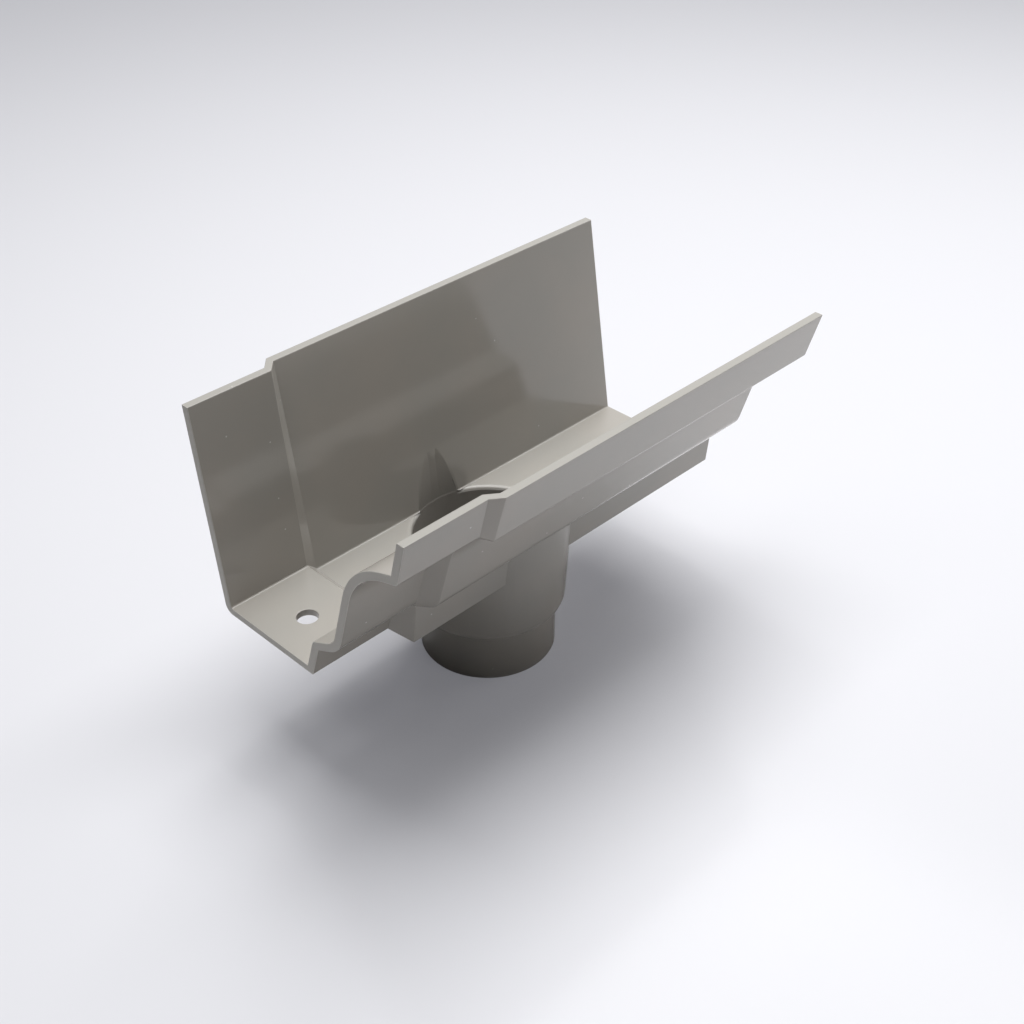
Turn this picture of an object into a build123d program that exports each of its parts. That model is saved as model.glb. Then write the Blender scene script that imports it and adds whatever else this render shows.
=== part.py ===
from build123d import *
import os

# Moulded ogee gutter outlet, one moulding: a trough in two sizes of the same ogee section,
# joined by a joggle, and a round tapered outlet that ends in a plain spigot.
# Origin: centre of the outlet's bottom rim. +X runs along the gutter towards the socket end,
# +Y points to the tall rear wall, -Y to the ogee front, +Z up.

# Lengths along the gutter
length = 253.0
spigot_length = 42.5
joggle_length = 5.5
inner_joggle_lag = 0.8

# Walls and levels
wall = 4.0
sole_wall = 3.5
sole_level = 67.5
socket_drop = 5.0
rear_height = 103.0
lip_height = 101.3

# Spigot section, outside: reach from the outlet's axis, and rise above its own underside
spigot_heel = 37.0
spigot_rear_head = 48.7
spigot_toe = 23.6
spigot_band = (29.2, 17.0)
spigot_belly = (43.5, 24.0)
spigot_cove = (57.9, 73.4)
spigot_lip_foot = (82.9, 80.7)
spigot_lip_head = 88.1

# Socket section, outside, measured the same way
socket_heel = 37.3
socket_rear_head = 54.6
socket_toe = 34.3
socket_band = (36.4, 21.9)
socket_belly = (51.2, 29.3)
socket_cove = (64.3, 74.7)
socket_lip_foot = (85.5, 82.2)
socket_lip_head = 92.2

# Roundings of the section, outside, and of the step inside above its band
lip_foot_radius = 2.0
cove_radius = 33.0
spigot_belly_radius = 15.0
socket_belly_radius = 12.0
heel_radius = 4.5
inner_band_radius = 2.5

# Bolt hole in the spigot's sole
bolt_hole_radius = 5.0
bolt_from_end = 20.3
bolt_from_axis = 4.8

# Outlet, outside
spout_radius = 34.0
spout_length = 25.3
shoulder_height = 2.8
shoulder_radius = 6.9
boss_rise = 45.0

# Outlet, inside
spout_wall = 3.5
spout_head_wall = 1.5
spout_head_drop = 1.3
throat_radius = 36.0
recess_taper = 0.086
recess_rise = 45.0
mouth_radius = 2.5

# The funnel outside follows the throat inside, further out by these walls
funnel_foot_cover = 2.6
funnel_head_cover = 4.5
funnel_foot_radius = throat_radius + funnel_foot_cover
funnel_head_radius = throat_radius + funnel_head_cover

# Cutters run this far past what they cut
overshoot = 10.0


def outside_corners(heel, rear_head, toe, band, belly, cove, lip_foot, lip_head, drop=0.0):
    """Corners of a section's outside, from the lip's top, under the sole, to the rear top."""
    underside = sole_level - drop
    corners = [Vector(-lip_head, sole_level + lip_height)]
    for reach, rise in (lip_foot, cove, belly, band):
        corners.append(Vector(-reach, underside + rise))
    corners.append(Vector(-toe, underside))
    corners.append(Vector(heel, underside))
    corners.append(Vector(rear_head, sole_level + rear_height))
    return corners


def inside_corners(outside):
    """Corners of the same section one wall further in, with both ends run past the rim."""
    runs = [(after - before).normalized() for before, after in zip(outside, outside[1:])]
    inward = [Vector(-run.Y, run.X) for run in runs]
    walls = [wall, wall, wall, wall, wall, sole_wall, wall]
    sides = list(zip(inward, walls))
    corners = [outside[0] + inward[0] * wall - runs[0] * overshoot]
    for corner, (before, depth), (after, next_depth) in zip(outside[1:-1], sides, sides[1:]):
        lean = before.dot(after)
        shift = before * (depth - lean * next_depth) + after * (next_depth - lean * depth)
        corners.append(corner + shift * (1 / (1 - lean ** 2)))
    corners.append(outside[-1] + inward[-1] * wall + runs[-1] * overshoot)
    return corners


def section_face(x, corners, lip_foot, cove, belly, band, heel):
    """Face across the gutter at x: the rounded section, closed straight across its top."""
    roundings = [lip_foot, cove, belly, band, 0, heel]
    with BuildSketch(Plane.YZ.offset(x)) as face:
        with BuildLine():
            path = FilletPolyline(corners, radius=roundings)
            Line(path @ 1, path @ 0)
        make_face()
    return face.sketch


spigot_outside = outside_corners(
    spigot_heel, spigot_rear_head, spigot_toe, spigot_band,
    spigot_belly, spigot_cove, spigot_lip_foot, spigot_lip_head,
)
socket_outside = outside_corners(
    socket_heel, socket_rear_head, socket_toe, socket_band,
    socket_belly, socket_cove, socket_lip_foot, socket_lip_head, socket_drop,
)
spigot_inside = inside_corners(spigot_outside)
socket_inside = inside_corners(socket_outside)
toe_corner, heel_corner = socket_inside[-3], socket_inside[-2]


def outside_face(x, corners, belly):
    """Face of the outside at x, with the outside's roundings."""
    return section_face(x, corners, lip_foot_radius, cove_radius, belly, 0, heel_radius)


def inside_face(x, corners, belly):
    """Face of the hollow at x, with roundings that keep the wall even round the bends."""
    return section_face(
        x, corners, 0, cove_radius + wall, belly - wall, inner_band_radius, heel_radius - sole_wall
    )


spigot_end = -length / 2
joggle_start = spigot_end + spigot_length
joggle_end = joggle_start + joggle_length
socket_end = length / 2
socket_underside = sole_level - socket_drop
socket_sole = socket_underside + sole_wall

shoulder_level = spout_length + shoulder_height
funnel_taper = (funnel_head_radius - funnel_foot_radius) / (socket_underside - shoulder_level)
boss_top = socket_underside + boss_rise
boss_top_radius = funnel_head_radius + funnel_taper * boss_rise
spout_inner_radius = spout_radius - spout_wall
spout_head_radius = spout_radius - spout_head_wall
spout_head_level = spout_length - spout_head_drop
throat_taper = (throat_radius - spout_head_radius) / (socket_sole - spout_head_level)
mouth_level = socket_sole - mouth_radius
mouth_foot_radius = throat_radius - throat_taper * mouth_radius
recess_top_radius = throat_radius + recess_taper * recess_rise

with BuildPart() as gutter_outlet:
    # Outer body of the trough: spigot run, joggle and socket run
    spigot_face = outside_face(joggle_start, spigot_outside, spigot_belly_radius)
    socket_face = outside_face(joggle_end, socket_outside, socket_belly_radius)
    extrude(spigot_face, amount=-spigot_length)
    loft([spigot_face, socket_face], ruled=True)
    extrude(socket_face, amount=socket_end - joggle_end)

    # Outer body of the outlet: spout, shoulder, tapered funnel and the boss on the walls
    with BuildSketch(Plane.XZ):
        with BuildLine():
            FilletPolyline(
                (0, 0),
                (spout_radius, 0),
                (spout_radius, spout_length),
                (funnel_foot_radius, shoulder_level),
                (boss_top_radius, boss_top),
                (0, boss_top),
                radius=[0, 0, 0, shoulder_radius, 0, 0],
                close=True,
            )
        make_face()
    revolve(axis=Axis.Z)

    # Hollow of the trough
    hollow_start = joggle_start + inner_joggle_lag
    hollow_end = joggle_end + inner_joggle_lag
    spigot_hollow = inside_face(hollow_start, spigot_inside, spigot_belly_radius)
    socket_hollow = inside_face(hollow_end, socket_inside, socket_belly_radius)
    extrude(spigot_hollow, amount=spigot_end - hollow_start - overshoot, mode=Mode.SUBTRACT)
    loft([spigot_hollow, socket_hollow], ruled=True, mode=Mode.SUBTRACT)
    extrude(socket_hollow, amount=socket_end - hollow_end + overshoot, mode=Mode.SUBTRACT)

    # Waterway: a taper down the outlet and a steeper one that runs up into both walls
    with BuildSketch(Plane.XZ):
        with BuildLine():
            Polyline(
                (0, 0),
                (spout_inner_radius, 0),
                (spout_head_radius, spout_head_level),
                (throat_radius, socket_sole),
                (recess_top_radius, socket_sole + recess_rise),
                (0, socket_sole + recess_rise),
                close=True,
            )
        make_face()
    revolve(axis=Axis.Z, mode=Mode.SUBTRACT)

    # Rounded mouth of the waterway, on the sole alone
    with BuildPart(mode=Mode.PRIVATE) as mouth:
        with BuildSketch(Plane.XZ):
            with BuildLine():
                flare = TangentArc(
                    (mouth_foot_radius, mouth_level),
                    (mouth_foot_radius + mouth_radius, socket_sole),
                    tangent=(0, 1),
                )
                Polyline(
                    flare @ 1,
                    (mouth_foot_radius - mouth_radius, socket_sole),
                    (mouth_foot_radius - mouth_radius, mouth_level),
                    flare @ 0,
                )
            make_face()
        revolve(axis=Axis.Z)
        with Locations((0, heel_corner.X, socket_sole)):
            Box(
                length, heel_corner.X - toe_corner.X, wall * 2,
                align=(Align.CENTER, Align.MAX, Align.CENTER), mode=Mode.INTERSECT,
            )
    add(mouth.part, mode=Mode.SUBTRACT)

    # Bolt hole
    with Locations((spigot_end + bolt_from_end, bolt_from_axis, sole_level + sole_wall)):
        Hole(bolt_hole_radius)

gutter_outlet.part.label = "gutter_outlet"
os.makedirs("parts", exist_ok=True)
export_step(gutter_outlet.part, "parts/gutter_outlet.step")
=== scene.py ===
from math import cos, radians, sin

import bmesh
import bpy
from mathutils import Matrix, Vector


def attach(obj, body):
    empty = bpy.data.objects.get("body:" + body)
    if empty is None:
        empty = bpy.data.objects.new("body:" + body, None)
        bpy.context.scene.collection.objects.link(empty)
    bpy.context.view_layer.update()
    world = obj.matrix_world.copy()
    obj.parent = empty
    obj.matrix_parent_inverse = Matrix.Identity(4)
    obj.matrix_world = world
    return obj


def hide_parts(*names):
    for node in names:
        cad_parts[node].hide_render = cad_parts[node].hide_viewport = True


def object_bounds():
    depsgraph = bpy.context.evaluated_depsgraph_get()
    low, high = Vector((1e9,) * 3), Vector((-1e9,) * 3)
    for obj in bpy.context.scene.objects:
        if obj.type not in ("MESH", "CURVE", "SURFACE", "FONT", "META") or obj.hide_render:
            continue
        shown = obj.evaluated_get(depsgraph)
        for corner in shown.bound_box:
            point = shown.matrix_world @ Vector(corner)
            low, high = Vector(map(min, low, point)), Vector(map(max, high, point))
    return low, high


MM = 0.001

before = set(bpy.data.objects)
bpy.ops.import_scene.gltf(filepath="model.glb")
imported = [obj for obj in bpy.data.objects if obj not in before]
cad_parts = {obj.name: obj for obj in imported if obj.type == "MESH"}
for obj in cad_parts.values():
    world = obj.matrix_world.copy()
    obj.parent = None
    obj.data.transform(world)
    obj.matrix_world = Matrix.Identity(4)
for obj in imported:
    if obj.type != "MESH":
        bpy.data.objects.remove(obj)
cad_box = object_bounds()

# Camera, as it stood for the photograph
CAMERA_AZIMUTH = -45.25
CAMERA_ELEVATION = 35.58
CAMERA_ROLL = -0.09
CAMERA_PLACE = (-394.8 * MM, -408.7 * MM, 482.5 * MM)
CAMERA_LENS = 51.17
SENSOR_WIDTH = 36
NEAREST_SEEN = 10 * MM

# Colours as they look on the real thing, with a painted shade grey for the throat; how far dust
# and painted light on level faces, and the painted throat shade, cover the grey
STONE_GREY = "#8f8c86"
STONE_GREY_WARM = "#948f88"
RIM_GREY = "#8a8781"
SAWN_GREY = "#a9a6a0"
DUST_AND_TOP_LIGHT_GREY = "#c6c5bf"
# Painted shade: a darker grey down the throat and up the recess
THROAT_SHADE_GREY = "#67645f"
THROAT_SHADE_COVER = 0.58
# Pale film on level faces: partly dust, partly painted light where the overhead light falls
DUST_AND_TOP_LIGHT_COVER = 0.12
SPECK_COVER = 0.55

# Where masks begin and end: noise values, how level a face is, a speck's edge and its chance
DRIFT_BAND = (0.3, 0.7)
SMEAR_BAND = (0.35, 0.7)
RIM_FACING = (0.8, 0.95)
DUST_AND_TOP_LIGHT_FACING = (0.4, 0.95)
SPECK_EDGE = (0.045, 0.02)
SPECK_CHANCE = (0.50, 0.55)

# Roughness: the polished mould's faces, where sawn, under dust and on a speck
MOULDED_ROUGHNESS = (0.10, 0.15)
SAWN_ROUGHNESS = 0.62
FILM_ROUGHNESS = 0.34
SPECK_ROUGHNESS = 0.8
POLYESTER_IOR = 1.54

# Grain and relief: blotch sizes, and the shares of each relief in its depth
DRIFT_GRAIN = 60 * MM
SMEAR_GRAIN = 35 * MM
SPECK_CELL = 11 * MM
RIPPLE_GRAIN = 9 * MM
SAW_GRAIN = 0.5 * MM
RELIEF_DEPTH = 0.12 * MM
RELIEF_STRENGTH = 0.35
RIPPLE_SHARE = 0.5
SAW_SHARE = 0.25
LEDGE_SHARE = 7.0

# Studio: the floor as it lights and as the camera sees it, its painted glow seen only by the
# camera, and the pale walls' strength on either side and where it turns
FLOOR_WHITE = "#ededf0"
FLOOR_SEEN = "#c8c8cb"
# Painted glow on the floor, seen only by the camera, lifting the floor and its shadow evenly
FLOOR_PAINTED_GLOW = "#eef0fc"
PAINTED_GLOW_STRENGTH = 0.14
FLOOR_ROUGHNESS = 0.18
FLOOR_SPECULAR = 0.15
FLOOR_REACH = 5.0
WALL_WHITE = "#f4f4fa"
LEFT_WALL = 0.25
RIGHT_WALL = 0.85
WALLS_TURN = (-0.8, 0.2)

# Soft lights: place, width, height and power; all of them face one point
LIGHT_AIM = (0, 0, 0.1)
LIGHTS = {
    "overhead_middle": ((0, 0.05, 1.4), 0.7, 0.7, 11.6),
    "overhead_right": ((0.62, 0.12, 1.28), 1.0, 0.8, 16.5),
    "overhead_left": ((-0.6, 0, 1.25), 0.7, 0.7, 2.8),
    "right_fill": ((1.3, -0.5, 0.5), 0.8, 0.6, 2.6),
    "front_fill": ((0.5, -1.4, 0.5), 0.8, 0.6, 2),
}

# Sizes of what the surface shows, and limits for working the mesh
EDGE_ROUNDING = 0.35 * MM
EDGE_SEGMENTS = 2
TRIM_DEPTH = 0.45 * MM
RIM_FALL = 2.2 * MM
CREASE_ANGLE = radians(24)
FLAT_ANGLE = radians(0.3)
WELD_GAP = 0.12 * MM
LEVEL_NORMAL = 0.9999

# Cones of the outlet: radius at the floor, growth per height and lowest level.
# The first is the recess inside, the second the funnel outside.
OUTLET_CONES = ((30.32 * MM, 0.086, 65.8 * MM), (37.05 * MM, 0.0552, 28 * MM))
CONE_SLACK = 0.06 * MM

# Painted shade down the throat fades up the recess between these levels, and a faint ledge runs
# round it at the sole's level; how far off the cone each still shows
SOLE_LEVEL = 66 * MM
THROAT_SHADE_FADE = (SOLE_LEVEL + 20 * MM, SOLE_LEVEL - 2 * MM)
LEDGE_FALL = (SOLE_LEVEL + 0.5 * MM, SOLE_LEVEL - 0.6 * MM)
THROAT_SHADE_NEAR_CONE = (0.6 * MM, 0.2 * MM)
LEDGE_NEAR_CONE = (0.25 * MM, 0.1 * MM)

# Small steps in which the rounded mouth ends at the heel: distance from the middle, place
# across the gutter and level
MOUTH_ENDS = ((10.5 * MM, 20 * MM), (33 * MM, 34.4 * MM), (63.9 * MM, 66.95 * MM))


def linear(hex_colour):
    """An sRGB hex colour as linear RGBA."""
    parts = [int(hex_colour[i:i + 2], 16) / 255 for i in (1, 3, 5)]
    return [p / 12.92 if p <= 0.04045 else ((p + 0.055) / 1.055) ** 2.4 for p in parts] + [1.0]


def add_node(tree, kind, links=None, **settings):
    """Adds one node, sets its properties and inputs, and links the sockets that are given."""
    node = tree.nodes.new(kind)
    for name, value in settings.items():
        if hasattr(node, name):
            setattr(node, name, value)
        else:
            node.inputs[name.replace("_", " ")].default_value = value
    for name, source in (links or {}).items():
        tree.links.new(source, node.inputs[name])
    return node


def ramp(tree, source, low, high, from_value=0.0, to_value=1.0):
    """A value mapped from low..high to from_value..to_value, held at both ends."""
    node = add_node(tree, "ShaderNodeMapRange", {"Value": source}, interpolation_type="SMOOTHSTEP")
    for name, value in zip(("From Min", "From Max", "To Min", "To Max"),
                           (low, high, from_value, to_value)):
        node.inputs[name].default_value = value
    return node.outputs["Result"]


def combine(tree, operation, first, second):
    """Two values joined by one operation, such as a sum, a product or the larger of both."""
    node = tree.nodes.new("ShaderNodeMath")
    node.operation = operation
    for socket, value in zip(node.inputs, (first, second)):
        if isinstance(value, (int, float)):
            socket.default_value = value
        else:
            tree.links.new(value, socket)
    return node.outputs["Value"]


def tint(tree, amount, base, other):
    """Base colour turned towards another by an amount; each is a socket or a hex colour."""
    node = tree.nodes.new("ShaderNodeMix")
    node.data_type = "RGBA"
    tree.links.new(amount, node.inputs["Factor"])
    for name, colour in (("A", base), ("B", other)):
        socket = next(s for s in node.inputs if s.name == name and s.type == "RGBA")
        if isinstance(colour, str):
            socket.default_value = linear(colour)
        else:
            tree.links.new(colour, socket)
    return next(s for s in node.outputs if s.type == "RGBA")


def noise(tree, place, grain, detail=2.0):
    """Soft noise whose blotches are about one grain across."""
    node = add_node(tree, "ShaderNodeTexNoise", {"Vector": place}, Detail=detail)
    node.inputs["Scale"].default_value = 1.0 / grain
    return node.outputs["Fac"]


def throat_shade_and_ledge(tree, axes):
    """How far the painted shade down the throat covers the grey, and the height of its ledge."""
    flat = add_node(tree, "ShaderNodeCombineXYZ", {"X": axes["X"], "Y": axes["Y"]})
    reach = add_node(tree, "ShaderNodeVectorMath", {"Vector": flat.outputs["Vector"]},
                     operation="LENGTH")
    radius, growth, _ = OUTLET_CONES[0]
    cone = combine(tree, "ADD", combine(tree, "MULTIPLY", axes["Z"], growth), radius)
    beyond = combine(tree, "SUBTRACT", reach.outputs["Value"], cone)
    # Painted shade: darker towards the bottom of the throat, only on the cone's inside
    tone = ramp(tree, axes["Z"], *THROAT_SHADE_FADE, 0.0, THROAT_SHADE_COVER)
    tone = combine(tree, "MULTIPLY", tone, ramp(tree, beyond, *THROAT_SHADE_NEAR_CONE))
    ledge = ramp(tree, axes["Z"], *LEDGE_FALL, 0.0, LEDGE_SHARE)
    ledge = combine(tree, "MULTIPLY", ledge, ramp(tree, beyond, *LEDGE_NEAR_CONE))
    return tone, ledge


def moulded_glass_fibre_polyester():
    """Pigmented glass fibre polyester from a polished mould: an even stone grey with a satin
    sheen, a faint flow of tone, fine ripple, pale sawn ends, dull rims, a little dust, a pale film
    on level faces that is partly painted light, and painted shade down the throat."""
    material = bpy.data.materials.new("moulded_glass_fibre_polyester")
    material.use_nodes = True
    tree = material.node_tree
    shader = tree.nodes["Principled BSDF"]
    place = add_node(tree, "ShaderNodeTexCoord").outputs["Object"]
    axes = add_node(tree, "ShaderNodeSeparateXYZ", {"Vector": place}).outputs
    normal = add_node(tree, "ShaderNodeNewGeometry").outputs["Normal"]
    facing = add_node(tree, "ShaderNodeSeparateXYZ", {"Vector": normal}).outputs

    # Trimmed faces: both ends, which are sawn pale, and the level tops of the two rims
    low, high = cad_box
    end_left = ramp(tree, axes["X"], low.x + TRIM_DEPTH, low.x + TRIM_DEPTH / 2)
    end_right = ramp(tree, axes["X"], high.x - TRIM_DEPTH, high.x - TRIM_DEPTH / 2)
    rim_foot = high.z - RIM_FALL
    rim_height = ramp(tree, axes["Z"], rim_foot - TRIM_DEPTH, rim_foot)
    rim = combine(tree, "MULTIPLY", rim_height, ramp(tree, facing["Z"], *RIM_FACING))
    ends = combine(tree, "MAXIMUM", end_left, end_right)
    trimmed = combine(tree, "MAXIMUM", rim, ends)

    # Tone: a slow drift of the pigment, painted shade down the throat, and the trimmed faces
    drift = ramp(tree, noise(tree, place, DRIFT_GRAIN, 3.0), *DRIFT_BAND)
    colour = tint(tree, drift, STONE_GREY, STONE_GREY_WARM)
    throat_shade, ledge = throat_shade_and_ledge(tree, axes)
    colour = tint(tree, throat_shade, colour, THROAT_SHADE_GREY)
    colour = tint(tree, rim, colour, RIM_GREY)
    colour = tint(tree, ends, colour, SAWN_GREY)

    # Dust and painted light: a pale film on level faces, partly dust and partly painted light
    # where the overhead light falls, and dust specks of about half a millimetre anywhere
    dust_and_top_light_film = ramp(tree, facing["Z"], *DUST_AND_TOP_LIGHT_FACING)
    colour = tint(tree, combine(tree, "MULTIPLY", dust_and_top_light_film, DUST_AND_TOP_LIGHT_COVER), colour, DUST_AND_TOP_LIGHT_GREY)
    specks = add_node(tree, "ShaderNodeTexVoronoi", {"Vector": place}, Scale=1 / SPECK_CELL)
    speck = ramp(tree, specks.outputs["Distance"], *SPECK_EDGE)
    chance = add_node(tree, "ShaderNodeSeparateXYZ", {"Vector": specks.outputs["Color"]})
    speck = combine(tree, "MULTIPLY", speck, ramp(tree, chance.outputs["X"], *SPECK_CHANCE))
    colour = tint(tree, combine(tree, "MULTIPLY", speck, SPECK_COVER), colour, DUST_AND_TOP_LIGHT_GREY)
    tree.links.new(colour, shader.inputs["Base Color"])

    # Gloss: polished moulded faces, dull under dust and where trimmed
    smear = noise(tree, place, SMEAR_GRAIN, 4.0)
    rough = ramp(tree, smear, *SMEAR_BAND, *MOULDED_ROUGHNESS)
    for mask, roughness in ((trimmed, SAWN_ROUGHNESS), (speck, SPECK_ROUGHNESS),
                            (dust_and_top_light_film, FILM_ROUGHNESS)):
        rough = combine(tree, "MAXIMUM", rough, combine(tree, "MULTIPLY", mask, roughness))
    tree.links.new(rough, shader.inputs["Roughness"])
    shader.inputs["IOR"].default_value = POLYESTER_IOR

    # Relief: the mould's ripple, a saw's fine tooth on trimmed faces and the waterway's ledge
    ripple = combine(tree, "MULTIPLY", noise(tree, place, RIPPLE_GRAIN), RIPPLE_SHARE)
    tooth = combine(tree, "MULTIPLY", noise(tree, place, SAW_GRAIN), trimmed)
    tooth = combine(tree, "MULTIPLY", tooth, SAW_SHARE)
    relief = combine(tree, "ADD", combine(tree, "ADD", ripple, tooth), ledge)
    bump = add_node(tree, "ShaderNodeBump", {"Height": relief},
                    Strength=RELIEF_STRENGTH, Distance=RELIEF_DEPTH)
    tree.links.new(bump.outputs["Normal"], shader.inputs["Normal"])
    return material


def studio_floor():
    """White acrylic sheet: pale and faintly glossy, with a painted glow seen only by the camera
    that lifts the floor and its shadow evenly.
    """
    material = bpy.data.materials.new("opal_acrylic_sheet")
    material.use_nodes = True
    tree = material.node_tree
    shader = tree.nodes["Principled BSDF"]
    seen = add_node(tree, "ShaderNodeLightPath").outputs["Is Camera Ray"]
    tree.links.new(tint(tree, seen, FLOOR_WHITE, FLOOR_SEEN), shader.inputs["Base Color"])
    # Painted glow: seen only by the camera, it lifts the floor and its shadow evenly
    painted_glow = combine(tree, "MULTIPLY", seen, PAINTED_GLOW_STRENGTH)
    tree.links.new(painted_glow, shader.inputs["Emission Strength"])
    shader.inputs["Emission Color"].default_value = linear(FLOOR_PAINTED_GLOW)
    shader.inputs["Roughness"].default_value = FLOOR_ROUGHNESS
    shader.inputs["Specular IOR Level"].default_value = FLOOR_SPECULAR
    return material


def is_crease(edge):
    """True where two surfaces meet: at a clear angle, or more shallowly along an outlet cone,
    but not in the small steps at the mouth's ends, which are shaded smooth."""
    middle = (edge.verts[0].co + edge.verts[1].co) / 2
    place = (abs(middle.x), middle.y, middle.z)
    if all(low < value < high for value, (low, high) in zip(place, MOUTH_ENDS)):
        return False
    if edge.calc_face_angle(0.0) > CREASE_ANGLE:
        return True
    for radius, growth, foot in OUTLET_CONES:
        on_cone = [
            all(abs(corner.co.xy.length - radius - growth * corner.co.z) < CONE_SLACK
                and corner.co.z > foot for corner in face.verts)
            for face in edge.link_faces
        ]
        if on_cone[0] != on_cone[1]:
            return True
    return False


def finished_moulding(node):
    """Copy of the moulding with its edges eased as they leave the mould and its curves smooth."""
    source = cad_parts[node]
    mesh = bpy.data.meshes.new(node + "_finished")
    shape = bmesh.new()
    shape.from_mesh(source.data)
    bmesh.ops.transform(shape, matrix=source.matrix_world, verts=shape.verts)
    bmesh.ops.remove_doubles(shape, verts=shape.verts, dist=WELD_GAP)
    bmesh.ops.dissolve_degenerate(shape, edges=shape.edges, dist=WELD_GAP)
    bmesh.ops.dissolve_limit(shape, angle_limit=FLAT_ANGLE, verts=shape.verts, edges=shape.edges)
    for face in shape.faces:
        face.smooth = abs(face.normal.z) < LEVEL_NORMAL
    eased = shape.edges.layers.float.new("bevel_weight_edge")
    for edge in shape.edges:
        edge.smooth = not is_crease(edge)
        edge[eased] = 1.0 if edge.is_convex and not edge.smooth else 0.0
    shape.to_mesh(mesh)
    shape.free()
    piece = bpy.data.objects.new(node + "_finished", mesh)
    bpy.context.scene.collection.objects.link(piece)
    easing = piece.modifiers.new("eased_edges", "BEVEL")
    easing.width = EDGE_ROUNDING
    easing.segments = EDGE_SEGMENTS
    easing.limit_method = "WEIGHT"
    easing.use_clamp_overlap = False
    shading = piece.modifiers.new("flat_faces_stay_flat", "WEIGHTED_NORMAL")
    shading.keep_sharp = True
    return piece


def make_camera():
    """Camera at the photograph's angle, built from its azimuth, elevation and roll."""
    azimuth, elevation = radians(CAMERA_AZIMUTH), radians(CAMERA_ELEVATION)
    roll = radians(CAMERA_ROLL)
    back = Vector((sin(azimuth) * cos(elevation), -cos(azimuth) * cos(elevation), sin(elevation)))
    level = Vector((cos(azimuth), sin(azimuth), 0))
    upright = back.cross(level)
    right = level * cos(roll) + upright * sin(roll)
    up = upright * cos(roll) - level * sin(roll)
    data = bpy.data.cameras.new("camera")
    data.sensor_width = SENSOR_WIDTH
    data.lens = CAMERA_LENS
    data.clip_start = NEAREST_SEEN
    camera = bpy.data.objects.new("camera", data)
    turn = Matrix((right, up, back)).transposed().to_4x4()
    camera.matrix_world = Matrix.Translation(CAMERA_PLACE) @ turn
    bpy.context.scene.collection.objects.link(camera)
    bpy.context.scene.camera = camera


def soft_light(name, place, width, height, power):
    """Rectangular soft light at a place, turned to face the point that all lights face."""
    data = bpy.data.lights.new(name, "AREA")
    data.shape = "RECTANGLE"
    data.size, data.size_y, data.energy = width, height, power
    lamp = bpy.data.objects.new(name, data)
    lamp.location = place
    way = Vector(LIGHT_AIM) - Vector(place)
    lamp.rotation_euler = way.to_track_quat("-Z", "Y").to_euler()
    bpy.context.scene.collection.objects.link(lamp)


def make_studio():
    """Pale floor, pale walls as seen and mirrored, three soft lights overhead and two fills."""
    floor_mesh = bpy.data.meshes.new("floor")
    sides = ((-1, -1), (1, -1), (1, 1), (-1, 1))
    corners = [(x * FLOOR_REACH, y * FLOOR_REACH, 0) for x, y in sides]
    floor_mesh.from_pydata(corners, [], [(0, 1, 2, 3)])
    floor = bpy.data.objects.new("floor", floor_mesh)
    floor_mesh.materials.append(studio_floor())
    bpy.context.scene.collection.objects.link(floor)

    world = bpy.data.worlds.new("studio")
    bpy.context.scene.world = world
    world.use_nodes = True
    tree = world.node_tree
    sky = tree.nodes["Background"]
    rays = add_node(tree, "ShaderNodeLightPath").outputs
    way = add_node(tree, "ShaderNodeTexCoord").outputs["Generated"]
    across = add_node(tree, "ShaderNodeSeparateXYZ", {"Vector": way}).outputs["X"]
    mirrored = ramp(tree, across, *WALLS_TURN, LEFT_WALL, RIGHT_WALL)
    mirrored = combine(tree, "MULTIPLY", rays["Is Glossy Ray"], mirrored)
    seen = combine(tree, "MULTIPLY", rays["Is Camera Ray"], RIGHT_WALL)
    tree.links.new(combine(tree, "MAXIMUM", seen, mirrored), sky.inputs["Strength"])
    sky.inputs["Color"].default_value = linear(WALL_WHITE)

    for name, (place, width, height, power) in LIGHTS.items():
        soft_light(name, place, width, height, power)


bpy.context.scene.view_settings.view_transform = "Standard"
make_camera()
make_studio()

outlet = finished_moulding("gutter_outlet")
outlet.data.materials.clear()
outlet.data.materials.append(moulded_glass_fibre_polyester())
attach(outlet, "root")
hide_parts("gutter_outlet")
